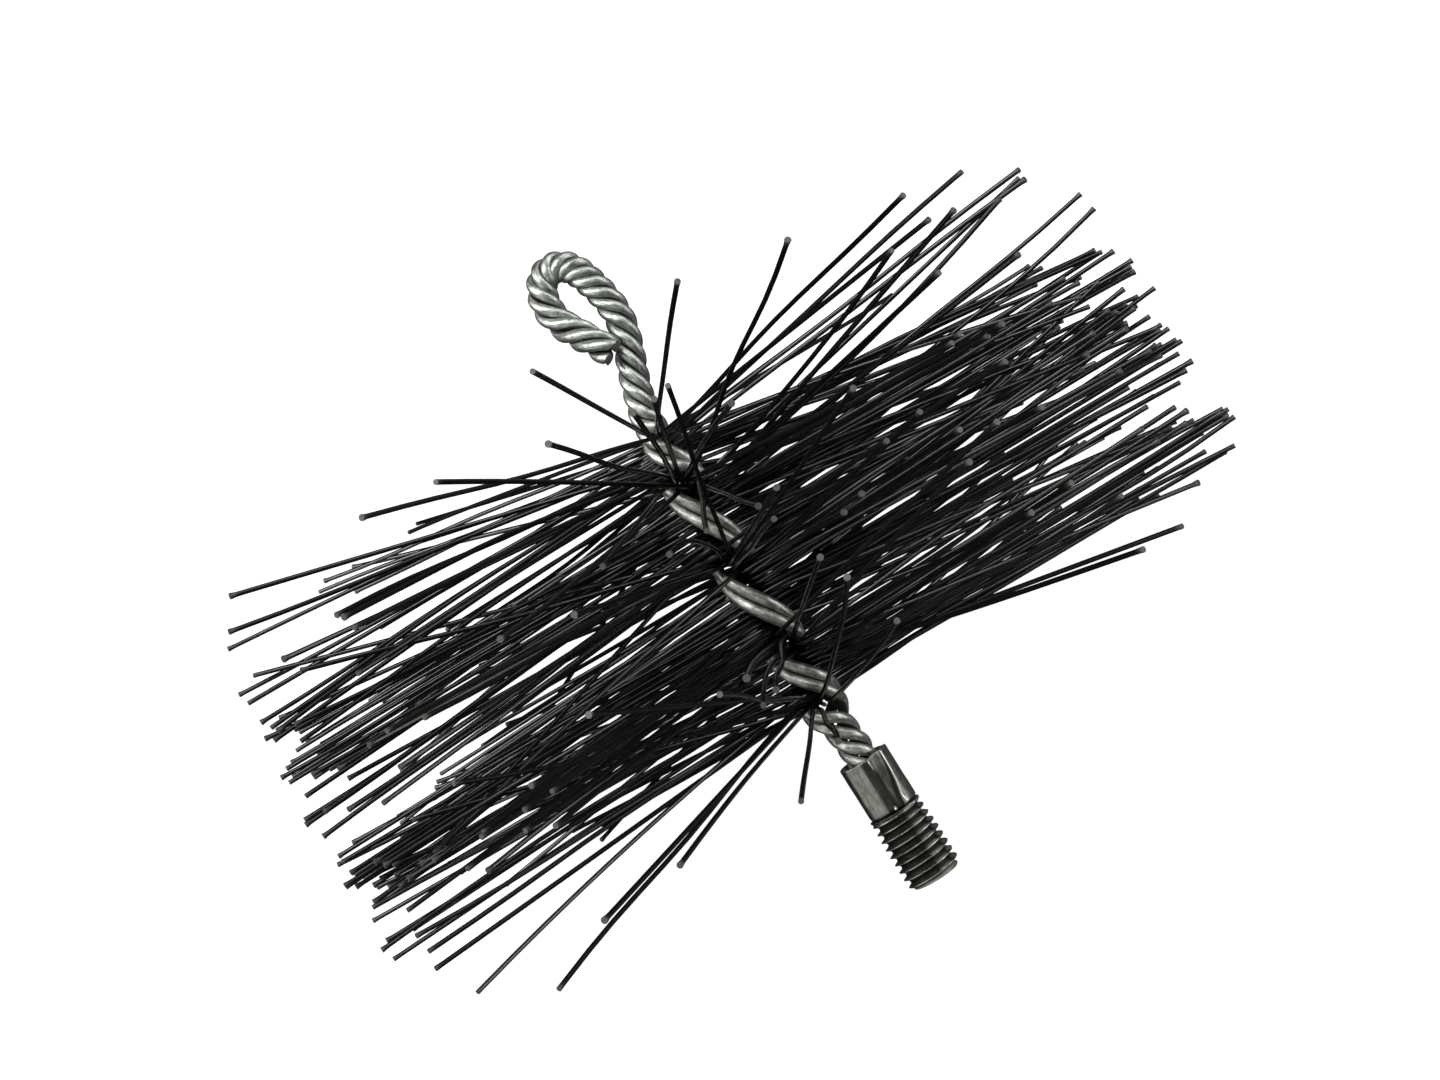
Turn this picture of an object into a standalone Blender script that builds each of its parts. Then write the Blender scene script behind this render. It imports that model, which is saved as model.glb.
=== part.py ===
"""Twisted-in-wire chimney sweep brush, nominal 200 mm, with an M12 stud and a pull eye.

Frame: metres, +Z up. The origin is the centre of the stud's end face. +X runs
along the stem, out of the stud. The brush lies along -X on its bristles, and
the pull eye is at the far end.
"""

import math
import random

import bmesh
import bpy
import numpy as np
from mathutils import Vector

MM = 0.001

# ---- Driving dimensions, in millimetres ------------------------------------
THREAD_R = 6.0  # M12 crest
THREAD_PITCH = 1.75
THREAD_DEPTH = 0.99
THREAD_LENGTH = 15.9
END_CHAMFER = 0.9
SLEEVE_R = 5.45
SLEEVE_END_X = -28.15
BORE_R = 3.85
BORE_BOTTOM_X = -16.9
FERRULE_SIDES = 26

# The ferrule was crimped on a little off the stem's own axis. All that follows is
# in the stem's frame, whose origin lies here:
STEM_AT = (1.05, -1.02, 0.0)
FERRULE_BEND_X = (-43.0, -29.5)  # where the wires cross over to the ferrule's axis

WIRE_D = 2.05  # drawn a little under the real 2.35, so that neighbours keep a gap
WIRE_GAP = 0.26
WIRE_STEP = 2.0
WIRE_START_X = -19.3
STEM_R = 3.95  # strand centre from the axis, in the bristle zone
ROPE_R = 2.06  # the same where the four wires close up into a rope
FERRULE_ROPE_R = 2.4
PAIR_TOUCH = 2.46  # spacing that two wires of one pair keep

ZONE_X = (-106.9, -42.4)  # bristle zone
NECK_X = -110.8  # end of the straight stem

BRISTLE_W = 0.8  # square prong of one bristle
BRISTLE_LENGTH = 98.0  # stem axis to tip
TUFTS = 54
TUFT_PITCH = (ZONE_X[1] - ZONE_X[0] - 0.8) / (TUFTS - 1)
CLAMP_HALF = 5.5  # half length of the clamped middle of a tuft
FLOOR_Z = -72.0  # what the brush rests on
FLATTEN = 0.55  # how far lying down has spread the bristles sideways
STEEPEST = 68.0  # degrees above or below level
CLEAR = 1.13  # least distance between the centre lines of two bristles
TIGHTEST = 1.02  # a bristle that can't find its way further off than this is left out
SEED = 31

# The pull eye's centre line, as the rope runs from the neck: up one side,
# round the top, down the other side and in front of the neck.
EYE = (
    (-110.8, 0.3, 0.0),
    (-115.8, 1.8, 0.0),
    (-119.8, 3.1, 0.0),
    (-123.8, 4.7, -0.1),
    (-127.4, 5.9, -0.2),
    (-130.8, 6.6, -0.2),
    (-134.4, 6.5, -0.1),
    (-137.6, 5.9, 0.0),
    (-140.6, 5.0, 0.0),
    (-143.4, 3.9, 0.0),
    (-145.3, 2.2, 0.0),
    (-146.0, 0.1, 0.0),
    (-145.4, -1.9, 0.0),
    (-143.8, -3.5, 0.0),
    (-141.4, -4.4, 0.1),
    (-138.6, -4.6, 0.3),
    (-135.6, -4.0, 0.8),
    (-132.6, -2.6, 1.9),
    (-129.4, -0.9, 3.7),
    (-126.8, 0.5, 5.1),
    (-124.6, 1.7, 6.0),
)
# Lay length of the rope at each of the same points
EYE_LAY = (14.3, 14.5, 15.0, 15.4, 15.4, 15.4, 15.4, 15.4, 15.4, 15.4, 15.4, 15.4, 16.0, 17.5, 19.5, 21.5, 22.0, 21.0, 19.5, 18.5, 18.0)


# ---- Curves ------------------------------------------------------------------
def monotone(xs, ys):
    """A smooth curve through the points that never turns back between them."""
    xs = np.asarray(xs, float)
    ys = np.asarray(ys, float)
    h = np.diff(xs)
    d = np.diff(ys) / h
    m = np.empty(len(xs))
    m[0], m[-1] = d[0], d[-1]
    for i in range(1, len(xs) - 1):
        if d[i - 1] * d[i] <= 0:
            m[i] = 0
        else:
            a, b = 2 * h[i] + h[i - 1], h[i] + 2 * h[i - 1]
            m[i] = (a + b) / (a / d[i - 1] + b / d[i])

    def at(x):
        i = int(min(max(np.searchsorted(xs, x) - 1, 0), len(h) - 1))
        t = (x - xs[i]) / h[i]
        return float(
            (1 + 2 * t) * (1 - t) ** 2 * ys[i]
            + t * (1 - t) ** 2 * h[i] * m[i]
            + t * t * (3 - 2 * t) * ys[i + 1]
            + t * t * (t - 1) * h[i] * m[i + 1]
        )

    return at


def smooth_step(a, b, x):
    t = min(max((x - a) / (b - a), 0.0), 1.0)
    return t * t * (3 - 2 * t)


def catmull(points, per_span):
    """A smooth centripetal curve through the points."""
    p = [np.array(q, float) for q in points]
    p = [2 * p[0] - p[1]] + p + [2 * p[-1] - p[-2]]
    out = []
    for i in range(1, len(p) - 2):
        t = [0.0]
        for a, b in ((i - 1, i), (i, i + 1), (i + 1, i + 2)):
            t.append(t[-1] + math.sqrt(np.linalg.norm(p[b] - p[a])))
        for k in range(per_span):
            u = t[1] + (t[2] - t[1]) * k / per_span
            a1 = (t[1] - u) / (t[1] - t[0]) * p[i - 1] + (u - t[0]) / (t[1] - t[0]) * p[i]
            a2 = (t[2] - u) / (t[2] - t[1]) * p[i] + (u - t[1]) / (t[2] - t[1]) * p[i + 1]
            a3 = (t[3] - u) / (t[3] - t[2]) * p[i + 1] + (u - t[2]) / (t[3] - t[2]) * p[i + 2]
            b1 = (t[2] - u) / (t[2] - t[0]) * a1 + (u - t[0]) / (t[2] - t[0]) * a2
            b2 = (t[3] - u) / (t[3] - t[1]) * a2 + (u - t[1]) / (t[3] - t[1]) * a3
            out.append((t[2] - u) / (t[2] - t[1]) * b1 + (u - t[1]) / (t[2] - t[1]) * b2)
    out.append(p[-2])
    return np.array(out)


# Twist of the stem: the angle of the wire pairs from +Y towards +Z at each x.
# The gap between them faces up at the nodes, x -106.4, -95.8, -76, -57.4 and -43,
# with half a turn from one to the next, and the lay is left-handed.
TWIST = monotone(
    (-111.5, -106.4, -95.8, -76.0, -57.4, -43.0, -36.0, -29.0, -17.0),
    tuple(-math.pi * t for t in (-4.70, -4.0, -3.0, -2.0, -1.0, 0.0, 0.72, 1.62, 3.24)),
)


def rope_line(step):
    """Points along the whole rope, from the ferrule's bore to the cut end, with
    each point's travel, frame, twist, strand radius and pair half-angle."""
    straight = np.arange(WIRE_START_X, NECK_X, -0.25)
    line = np.array([
        (x, 0.3 * smooth_step(-100, -110.8, x) - STEM_AT[1] * smooth_step(*FERRULE_BEND_X, x), 0.0)
        for x in straight
    ])
    line = np.vstack([line, catmull(EYE, 16)])
    seg = np.linalg.norm(np.diff(line, axis=0), axis=1)
    s = np.concatenate([[0], np.cumsum(seg)])
    tangent = np.gradient(line, s, axis=0)
    tangent /= np.linalg.norm(tangent, axis=1)[:, None]
    eye_s = s[len(straight) :: 16]
    lay = monotone(eye_s, EYE_LAY)
    neck_s = s[len(straight)]
    out = []
    normal = np.array((0.0, 1.0, 0.0))
    psi = 0.0
    for i, (point, way) in enumerate(zip(line, tangent)):
        normal = normal - way * normal.dot(way)
        normal /= np.linalg.norm(normal)
        across = np.cross(normal, way)  # +Z along the stem
        x = point[0]
        if s[i] <= neck_s:
            psi = TWIST(x)
            rate = abs(TWIST(x - 0.3) - TWIST(x + 0.3)) / 0.6
        else:
            rate = 2 * math.pi / lay(s[i])
            psi += rate * (s[i] - s[i - 1])
        if s[i] > neck_s:
            radius, half = ROPE_R, math.pi / 4
        else:
            closed = smooth_step(-107.3, -111.8, x) + smooth_step(-42.6, -35.5, x)
            end_r = ROPE_R if x < -80 else FERRULE_ROPE_R
            radius = STEM_R + (end_r - STEM_R) * closed
            lead = math.cos(math.atan(STEM_R * rate))
            pair = math.asin(min(0.62, PAIR_TOUCH / (2 * STEM_R * lead)))
            half = pair + (math.pi / 4 - pair) * closed
        out.append((s[i], point, normal.copy(), across, psi, radius, half))
    return out


def strand_points(rope, number, spacing):
    """The centre line of one wire: two pairs stand opposite each other."""
    pair, side = divmod(number, 2)
    path = []
    for _, point, normal, across, psi, radius, half in rope:
        a = psi + math.pi * pair + (half if side else -half)
        path.append(point + radius * (math.cos(a) * normal + math.sin(a) * across))
    path = np.array(path)
    seg = np.linalg.norm(np.diff(path, axis=0), axis=1)
    s = np.concatenate([[0], np.cumsum(seg)])
    n = int(round(s[-1] / spacing))
    grid = np.linspace(0, s[-1], n + 1)
    return np.stack([np.interp(grid, s, path[:, c]) for c in range(3)], axis=1)


# ---- Bristles ------------------------------------------------------------------
def closest(p, q, starts, ends):
    """Distances between the segment p-q and each of the segments starts-ends."""
    d1 = q - p
    d2 = ends - starts
    r = p - starts
    a = d1.dot(d1)
    e = np.einsum("ij,ij->i", d2, d2)
    f = np.einsum("ij,ij->i", d2, r)
    c = r @ d1
    b = d2 @ d1
    denom = np.maximum(a * e - b * b, 1e-9)
    s = np.clip((b * f - c * e) / denom, 0, 1)
    t = np.clip((b * s + f) / e, 0, 1)
    s = np.clip((b * t - c) / a, 0, 1)
    gap = (p + s[:, None] * d1) - (starts + t[:, None] * d2)
    return np.sqrt(np.einsum("ij,ij->i", gap, gap))


# Bristles that stand out from the fans: x of the root, then x and y of the tip.
# Each takes the place of one bristle of a tuft near its root, and its height
# follows from its length.
STRAYS = (
    # from the neck's end
    (-106, -120, -11), (-106, -120, 16), (-106, -114, 56), (-104, -113, 68),
    (-106, -109, 79), (-105, -107, 79), (-107, -116, -48), (-107, -116, -79),
    (-105, -115, -85), (-104, -116, -97), (-102, -105, -61), (-100, -104, -60),
    # around the second node
    (-96, -106, -1), (-97, -106, 3), (-95, -109, -15), (-94, -114, -34),
    (-94, -84, -1), (-95, -83, 8), (-97, -117, 35), (-96, -99, 13),
    (-95, -88, -18), (-92, -106, 72), (-91, -108, 63), (-93, -107, 49),
    (-90, -102, 97), (-93, -96, 69), (-88, -98, 97), (-91, -118, -56),
    # around the third
    (-79, -108, -93), (-85, -96, -97), (-78, -107, 6), (-77, -91, 31),
    (-76, -84, 12), (-75, -80, 9), (-74, -81, 31), (-73, -76, 23),
    (-74, -75, 19), (-77, -84, -8), (-78, -84, -26),
    # around the fourth
    (-57, -71, 12), (-56, -56, -8), (-58, -57, -5), (-59, -61, -8),
    (-57, -71, 41), (-58, -74, 49), (-60, -48, 83), (-62, -54, 86),
    # from the ferrule's end
    (-44, -66, 14), (-43, -56, 17), (-46, -61, -13), (-43, -45, -1),
    (-43, -40, -11), (-44, -41, -33), (-45, -39, -49), (-45, -32, -63),
    (-46, -37, -78), (-46, -47, -83), (-50, -42, 68), (-49, -43, 59),
    (-45, -41, 52), (-56, -46, 76), (-46, -54, 21), (-47, -69, -33),
)
# No tip falls here: the first bunch at the neck stands apart from the fans
TIP_GAPS = {-1: (-111.5, -107.5), 1: (-107.0, -103.2)}
FAN_X = (-122.5, -36.0)  # and none outside this, with the far end drawn in
FAN_SLOPE = 0.1  # by this much for each millimetre of height
# nor beyond this on the right of the neck, drawn in by the slope past y 72
NECK_SIDE_X, NECK_SIDE_SLOPE = -120.0, 0.4


# Across the gap between the wire pairs, where a tuft's two or three bristles lie
PAIR_OF = (-0.72, 0.72)
THREE_OF = (-1.42, 0.0, 1.42)


def tip_on(start, way, reach):
    """The tip of a bristle of this reach, with one that would dip below what
    the brush lies on splayed until it just touches."""
    tip = start + way * reach
    if tip[2] < FLOOR_Z:
        z = (FLOOR_Z - start[2]) / reach
        flat = np.array((way[0], way[1], 0.0))
        flat *= math.sqrt(1 - z * z) / np.linalg.norm(flat)
        tip = start + reach * (flat + np.array((0, 0, z)))
        tip[2] = FLOOR_Z
    return tip


def lay_bristles():
    """[(x, twist, [(offset across the gap, sense, start, tip), ...]), ...]"""
    rng = random.Random(SEED)
    tufts, starts, ends = [], [], []
    frames = []
    for k in range(TUFTS):
        x = ZONE_X[0] + 0.4 + k * TUFT_PITCH
        psi = TWIST(x)
        across = np.array((0, math.cos(psi), math.sin(psi)))
        along = np.array((0, -math.sin(psi), math.cos(psi)))
        offsets = PAIR_OF if k % 6 == 1 or k < 5 else THREE_OF
        frames.append((x, psi, across, along, offsets))
        for w in offsets:
            middle = np.array((x, 0, 0)) + w * across
            starts.append(middle - CLAMP_HALF * along)
            ends.append(middle + CLAMP_HALF * along)
    clamps = len(starts)
    owner = [k for k, f in enumerate(frames) for _ in f[4]]
    slots = []
    for k, (x, psi, across, along, offsets) in enumerate(frames):
        for w in offsets:
            for sense in (1, -1):
                slots.append((k, w, sense))
    chosen = {}

    def fits(start, tip, k):
        s, e = np.array(starts), np.array(ends)
        far = closest(start, tip, s, e)
        for i in range(clamps):
            if owner[i] == k:
                far[i] = 9.0
        return far.min()

    # the stray ones first
    reach = BRISTLE_LENGTH - CLAMP_HALF
    for root_x, tip_x, tip_y in STRAYS:
        best = None
        for k, w, sense in slots:
            x, psi, across, along, offsets = frames[k]
            if (k, w, sense) in chosen or abs(x - root_x) > 2.5:
                continue
            start = np.array((x, 0, 0)) + w * across + sense * CLAMP_HALF * along
            flat = math.hypot(tip_x - start[0], tip_y - start[1])
            rise = math.sqrt(max(reach * reach - flat * flat, 4.0))
            for up in (1, -1):
                if up < 0 and rise > 25:
                    continue
                tip = np.array((tip_x, tip_y, start[2] + up * rise))
                turn = (tip - start).dot(sense * along) / np.linalg.norm(tip - start)
                if turn < 0.3:
                    continue
                room = fits(start, tip, k)
                score = turn - 0.15 * abs(x - root_x) + (0 if room >= CLEAR else -4 + room)
                if best is None or score > best[0]:
                    best = (score, (k, w, sense), start, tip)
        if best is not None and best[0] > -1:
            chosen[best[1]] = best[2:]
            starts.append(best[2])
            ends.append(best[3])

    order = [s for s in slots if s not in chosen]
    rng.shuffle(order)
    order.sort(key=lambda s: s[1] == 0)  # the middle ones find their way last
    for k, w, sense in order:
        x, psi, across, along, offsets = frames[k]
        start = np.array((x, 0, 0)) + w * across + sense * CLAMP_HALF * along
        best = None
        for attempt in range(1500):
            loose = 1 + attempt / 200
            dy = sense * along[1] + rng.gauss(0, 0.13 * loose) + 0.06 * w * across[1]
            dz = sense * along[2] + rng.gauss(0, 0.13 * loose)
            dz *= FLATTEN
            if w and abs(across[1]) > 0.8 and rng.random() < 0.9:
                dy = math.copysign(dy, w * across[1])
            side = 1 if dy >= 0 else -1
            steep = math.degrees(math.atan2(abs(dz), abs(dy)))
            if steep > STEEPEST:
                steep = STEEPEST - rng.random() * 14
            a = math.radians(steep)
            dy, dz = side * math.cos(a), math.copysign(math.sin(a), dz)
            tip_x = lean(x, side) + rng.gauss(0, 3.6 * min(loose, 2.2))
            if rng.random() < 0.08:
                tip_x += rng.gauss(0, 9)
            if TIP_GAPS[side][0] < tip_x < TIP_GAPS[side][1] or not FAN_X[0] < tip_x < FAN_X[1]:
                continue
            length = BRISTLE_LENGTH + rng.gauss(0, 1.1)
            way = np.array(((tip_x - x) / length, dy, dz))
            way[1:] *= math.sqrt(max(1 - way[0] ** 2, 0.1))
            way /= np.linalg.norm(way)
            tip = tip_on(start, way, length - CLAMP_HALF)
            if tip[0] > FAN_X[1] - FAN_SLOPE * max(tip[2], 0.0):
                continue
            if side > 0 and tip[0] < NECK_SIDE_X + NECK_SIDE_SLOPE * max(tip[1] - 72.0, 0.0):
                continue
            turn = (tip - start).dot(sense * along) / (length - CLAMP_HALF)
            if turn < 0.25:
                continue
            room = fits(start, tip, k)
            if best is None or room > best[0]:
                best = (room, start, tip)
            if room >= CLEAR:
                break
        if best[0] < TIGHTEST:  # this one broke off at the stem
            continue
        chosen[(k, w, sense)] = (best[1], best[2])
        starts.append(best[1])
        ends.append(best[2])
    for k, (x, psi, across, along, offsets) in enumerate(frames):
        prongs = [(w, s, *chosen[k, w, s]) for w in offsets for s in (1, -1) if (k, w, s) in chosen]
        tufts.append((x, across, along, offsets, prongs))
    return tufts


def lean(x, side):
    """Where along the stem's direction the tips of a tuft rooted at x lie."""
    if side < 0:
        return LEAN_LEFT(x)
    return LEAN_RIGHT(x)


# The tips gather in bunches with thin places between them. Each table goes from
# places along the stem to where the tips of the bristles clamped there lie.
LEAN_LEFT = monotone(
    (-107, -103.5, -102.5, -100.5, -97, -91.5, -85, -81, -77.5, -75, -67.5, -57.5, -50.5, -48, -45, -42),
    (-120.5, -114, -106, -100, -94.5, -89.5, -85, -79.5, -74, -69, -64.5, -60.5, -56, -50.5, -45, -38),
)
LEAN_RIGHT = monotone(
    (-107, -105, -103.5, -103, -101.5, -97, -89.5, -84, -76.5, -71, -65, -60.5, -55, -51.5, -45.5, -42),
    (-114.5, -109, -101, -98, -92.5, -87.5, -83.5, -78.5, -74.5, -69.5, -65, -60, -55, -50, -45, -39),
)


# ---- Making the objects ----------------------------------------------------------
def principled(name, colour, metallic, roughness):
    material = bpy.data.materials.new(name)
    material.use_nodes = True
    shader = material.node_tree.nodes["Principled BSDF"]
    shader.inputs["Base Color"].default_value = (*colour, 1)
    shader.inputs["Metallic"].default_value = metallic
    shader.inputs["Roughness"].default_value = roughness
    return material


def add_mesh(name, bm, material, smooth_angle=None):
    bmesh.ops.recalc_face_normals(bm, faces=bm.faces)
    mesh = bpy.data.meshes.new(name)
    bm.to_mesh(mesh)
    bm.free()
    if smooth_angle is not None:
        mesh.shade_smooth()
        mesh.set_sharp_from_angle(angle=math.radians(smooth_angle))
    obj = bpy.data.objects.new(name, mesh)
    obj.data.materials.append(material)
    bpy.context.scene.collection.objects.link(obj)
    return obj


def thread_radius(x, angle):
    """Radius of the stud at x: a right-hand M12 thread that runs out towards
    the sleeve, under the end's chamfer."""
    phase = (x / THREAD_PITCH - angle / (2 * math.pi)) % 1.0
    flank = abs(phase - 0.5) * 2  # 0 at the middle of the root, 1 at the crest
    cut = min(max((flank - 0.2) / 0.7, 0.0), 1.0)
    radius = THREAD_R - THREAD_DEPTH * (1 - cut)
    radius = min(radius, THREAD_R - END_CHAMFER + (0 - x) * 1.0)
    return max(radius, 2.0)


def make_ferrule(material):
    """Stud and sleeve in one piece: rings of points, one list per ring, which
    follow the helix along the thread."""
    n = FERRULE_SIDES
    marks = (0.0, 0.1, 0.45, 0.55, 0.9)  # along one pitch, from crest to crest
    turns = int(THREAD_LENGTH / THREAD_PITCH) + 2
    bm = bmesh.new()
    rows = []
    last_x = -THREAD_LENGTH
    for turn in range(-1, turns + 1):
        for mark in marks:
            row = []
            for i in range(n + 1):
                angle = 2 * math.pi * i / n
                x = -(turn + mark) * THREAD_PITCH + THREAD_PITCH * i / n
                x = min(max(x, last_x), 0.0)
                radius = thread_radius(x, angle)
                row.append(
                    bm.verts.new(
                        (
                            x * MM,
                            radius * math.cos(angle) * MM,
                            radius * math.sin(angle) * MM,
                        )
                    )
                )
            rows.append(row)
    for upper, lower in zip(rows, rows[1:]):
        for i in range(n):
            bm.faces.new((upper[i], upper[i + 1], lower[i + 1], lower[i]))
    # one turn of the last column lies on the first column, a pitch further on
    bmesh.ops.remove_doubles(bm, verts=bm.verts, dist=1e-7)
    bmesh.ops.dissolve_degenerate(bm, dist=1e-7, edges=bm.edges)
    # what is left open is the edge of the end face and the edge at the sleeve
    open_edges = [e for e in bm.edges if e.is_boundary]
    end = [e for e in open_edges if all(abs(v.co.x) < 1e-7 for v in e.verts)]
    neck = [e for e in open_edges if all(abs(v.co.x - last_x * MM) < 1e-7 for v in e.verts)]
    bmesh.ops.contextual_create(bm, geom=end)
    # the sleeve, turned from its section, then bored for the wires
    section = (
        (last_x - 0.25, 4.9),
        (last_x - 0.75, SLEEVE_R - 0.1),
        (last_x - 1.1, SLEEVE_R),
        (-22.6, SLEEVE_R - 0.12),
        (SLEEVE_END_X + 0.5, SLEEVE_R),
        (SLEEVE_END_X, SLEEVE_R - 0.4),
        (SLEEVE_END_X, BORE_R + 0.4),
        (SLEEVE_END_X + 0.5, BORE_R),
        (BORE_BOTTOM_X, BORE_R),
    )
    loop = neck
    for x, radius in section:
        made = bmesh.ops.extrude_edge_only(bm, edges=loop)["geom"]
        for v in (g for g in made if isinstance(g, bmesh.types.BMVert)):
            angle = math.atan2(v.co.z, v.co.y)
            v.co = Vector((x, radius * math.cos(angle), radius * math.sin(angle))) * MM
        loop = [g for g in made if isinstance(g, bmesh.types.BMEdge)]
    bmesh.ops.contextual_create(bm, geom=loop)
    bmesh.ops.triangulate(bm, faces=bm.faces)
    return add_mesh("threaded_ferrule", bm, material, 35)


def wire_radii(points, others):
    """The wire's radius at each of its points: less where its neighbours
    squeeze it, as at the inside of the eye's tight top."""
    radii = []
    for p in points:
        room = min(np.linalg.norm(other - p, axis=1).min() for other in others)
        radii.append(min(WIRE_D / 2, (room - WIRE_GAP) / 2))
    lowest = [min(radii[max(i - 1, 0) : i + 2]) for i in range(len(radii))]
    return lowest


def make_wire(name, points, radii, material):
    curve = bpy.data.curves.new(name, "CURVE")
    curve.dimensions = "3D"
    curve.bevel_depth = WIRE_D / 2 * MM
    curve.bevel_resolution = 1
    curve.use_fill_caps = True
    curve.twist_mode = "MINIMUM"
    spline = curve.splines.new("POLY")
    spline.points.add(len(points) - 1)
    for target, p, r in zip(spline.points, points, radii):
        target.co = (p[0] * MM, p[1] * MM, p[2] * MM, 1)
        target.radius = r / (WIRE_D / 2)
    obj = bpy.data.objects.new(name, curve)
    obj.location = Vector(STEM_AT) * MM
    curve.materials.append(material)
    bpy.context.scene.collection.objects.link(obj)
    return obj


def make_tuft(name, tuft, material):
    """The bristles clamped at one place: a flat bar through the gap between the
    wire pairs, whose end faces are extruded into the single bristles."""
    x, across, along, offsets, prongs = tuft
    half = BRISTLE_W / 2
    cuts = [c for w in offsets for c in (w - half, w + half)]
    bm = bmesh.new()

    def corner(cut, ax, sense):
        p = np.array((x + ax * half, 0, 0)) + cut * across + sense * CLAMP_HALF * along
        return bm.verts.new(p * MM)

    cage = {(i, ax, s): corner(c, ax, s) for i, c in enumerate(cuts) for ax in (-1, 1) for s in (-1, 1)}
    cells = {}
    for i in range(len(cuts) - 1):
        for ax in (-1, 1):
            bm.faces.new([cage[i, ax, -1], cage[i + 1, ax, -1], cage[i + 1, ax, 1], cage[i, ax, 1]])
        for s in (-1, 1):
            cells[i, s] = bm.faces.new([cage[i, -1, s], cage[i + 1, -1, s], cage[i + 1, 1, s], cage[i, 1, s]])
    for i in (0, len(cuts) - 1):
        bm.faces.new([cage[i, -1, -1], cage[i, 1, -1], cage[i, 1, 1], cage[i, -1, 1]])
    bmesh.ops.recalc_face_normals(bm, faces=bm.faces)
    for w, sense, start, tip in prongs:
        cell = cells[2 * offsets.index(w), sense]
        made = bmesh.ops.extrude_discrete_faces(bm, faces=[cell])["faces"][0]
        way = (tip - start) / np.linalg.norm(tip - start)
        wide = across - way * across.dot(way)
        wide /= np.linalg.norm(wide)
        deep = np.array((1.0, 0, 0)) - way[0] * way
        deep -= wide * deep.dot(wide)
        deep /= np.linalg.norm(deep)
        level = abs(tip[2] - FLOOR_Z) < 1e-6
        for v in made.verts:
            rel = np.array(v.co) / MM - start
            a = math.copysign(half, rel.dot(across))
            b = math.copysign(half, rel[0])
            p = tip + a * wide + b * deep
            if level:  # cut level where it stands
                p += way * (FLOOR_Z - p[2]) / way[2]
            v.co = Vector(p * MM)
    obj = add_mesh(name, bm, material)
    obj.location = Vector(STEM_AT) * MM
    return obj


def main():
    for obj in list(bpy.data.objects):
        bpy.data.objects.remove(obj, do_unlink=True)
    steel = principled("turned_steel", (0.17, 0.155, 0.145), 1.0, 0.34)
    zinc = principled("galvanised_wire", (0.52, 0.53, 0.51), 1.0, 0.38)
    plastic = principled("black_bristle", (0.012, 0.012, 0.012), 0.0, 0.32)
    make_ferrule(steel)
    rope = rope_line(0.25)
    fine = [strand_points(rope, number, 0.25) for number in range(4)]
    for number in range(4):
        points = strand_points(rope, number, WIRE_STEP)
        others = fine[:number] + fine[number + 1 :]
        make_wire(f"stem_wire_{number + 1}", points, wire_radii(points, others), zinc)
    for k, tuft in enumerate(lay_bristles()):
        make_tuft(f"bristle_tuft_{k + 1:02d}", tuft, plastic)


main()
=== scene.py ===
"""Looks of the chimney sweep brush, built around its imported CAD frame."""

import math
import random

import bmesh
import bpy
import numpy as np
from mathutils import Matrix, Vector


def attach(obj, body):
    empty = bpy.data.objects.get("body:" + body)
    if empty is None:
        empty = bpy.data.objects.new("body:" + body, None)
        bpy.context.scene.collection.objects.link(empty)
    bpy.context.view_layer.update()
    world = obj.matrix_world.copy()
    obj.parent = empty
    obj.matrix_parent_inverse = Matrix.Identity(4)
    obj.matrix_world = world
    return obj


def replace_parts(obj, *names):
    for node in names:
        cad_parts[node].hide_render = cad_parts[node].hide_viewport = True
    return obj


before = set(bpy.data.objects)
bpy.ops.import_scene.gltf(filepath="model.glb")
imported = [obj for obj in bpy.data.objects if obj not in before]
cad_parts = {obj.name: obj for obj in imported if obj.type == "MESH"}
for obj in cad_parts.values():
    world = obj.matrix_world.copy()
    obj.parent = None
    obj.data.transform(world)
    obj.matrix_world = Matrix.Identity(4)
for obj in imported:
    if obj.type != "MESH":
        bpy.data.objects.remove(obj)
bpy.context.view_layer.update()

MM = 0.001
rng = random.Random(7)
TAU = 2 * math.pi


# ---- The stem's curves, in millimetres, as in the CAD -----------------------------
STEM_AT = np.array((1.05, -1.02, 0.0))  # the stem's frame in the part's
BEND_X = (-43.0, -29.5)
ZONE_X = (-106.9, -42.4)
NECK_X = -110.8
WIRE_START_X = -20.4
STEM_R, ROPE_R, FERRULE_ROPE_R = 3.95, 2.07, 2.38
PAIR_TOUCH = 2.46
TUFTS = 54
TUFT_PITCH = (ZONE_X[1] - ZONE_X[0] - 0.8) / (TUFTS - 1)
CLAMP_HALF = 5.5
BRISTLE_W = 0.8
FLOOR_Z = -72.0
WIRE_R = 1.19
BRISTLE_R = 0.475

EYE = (
    (-110.8, 0.3, 0.0), (-115.8, 1.8, 0.0), (-119.8, 3.1, 0.0), (-123.8, 4.7, -0.1),
    (-127.4, 5.9, -0.2), (-130.8, 6.6, -0.2), (-134.4, 6.5, -0.1), (-137.6, 5.9, 0.0),
    (-140.6, 5.0, 0.0), (-143.4, 3.9, 0.0), (-145.3, 2.2, 0.0), (-146.0, 0.1, 0.0),
    (-145.4, -1.9, 0.0), (-143.8, -3.5, 0.0), (-141.4, -4.4, 0.1), (-138.6, -4.6, 0.3),
    (-135.6, -4.0, 0.8), (-132.6, -2.6, 2.1), (-129.4, -0.9, 4.0), (-126.8, 0.5, 5.1),
    (-124.6, 1.7, 5.5),
)
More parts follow.
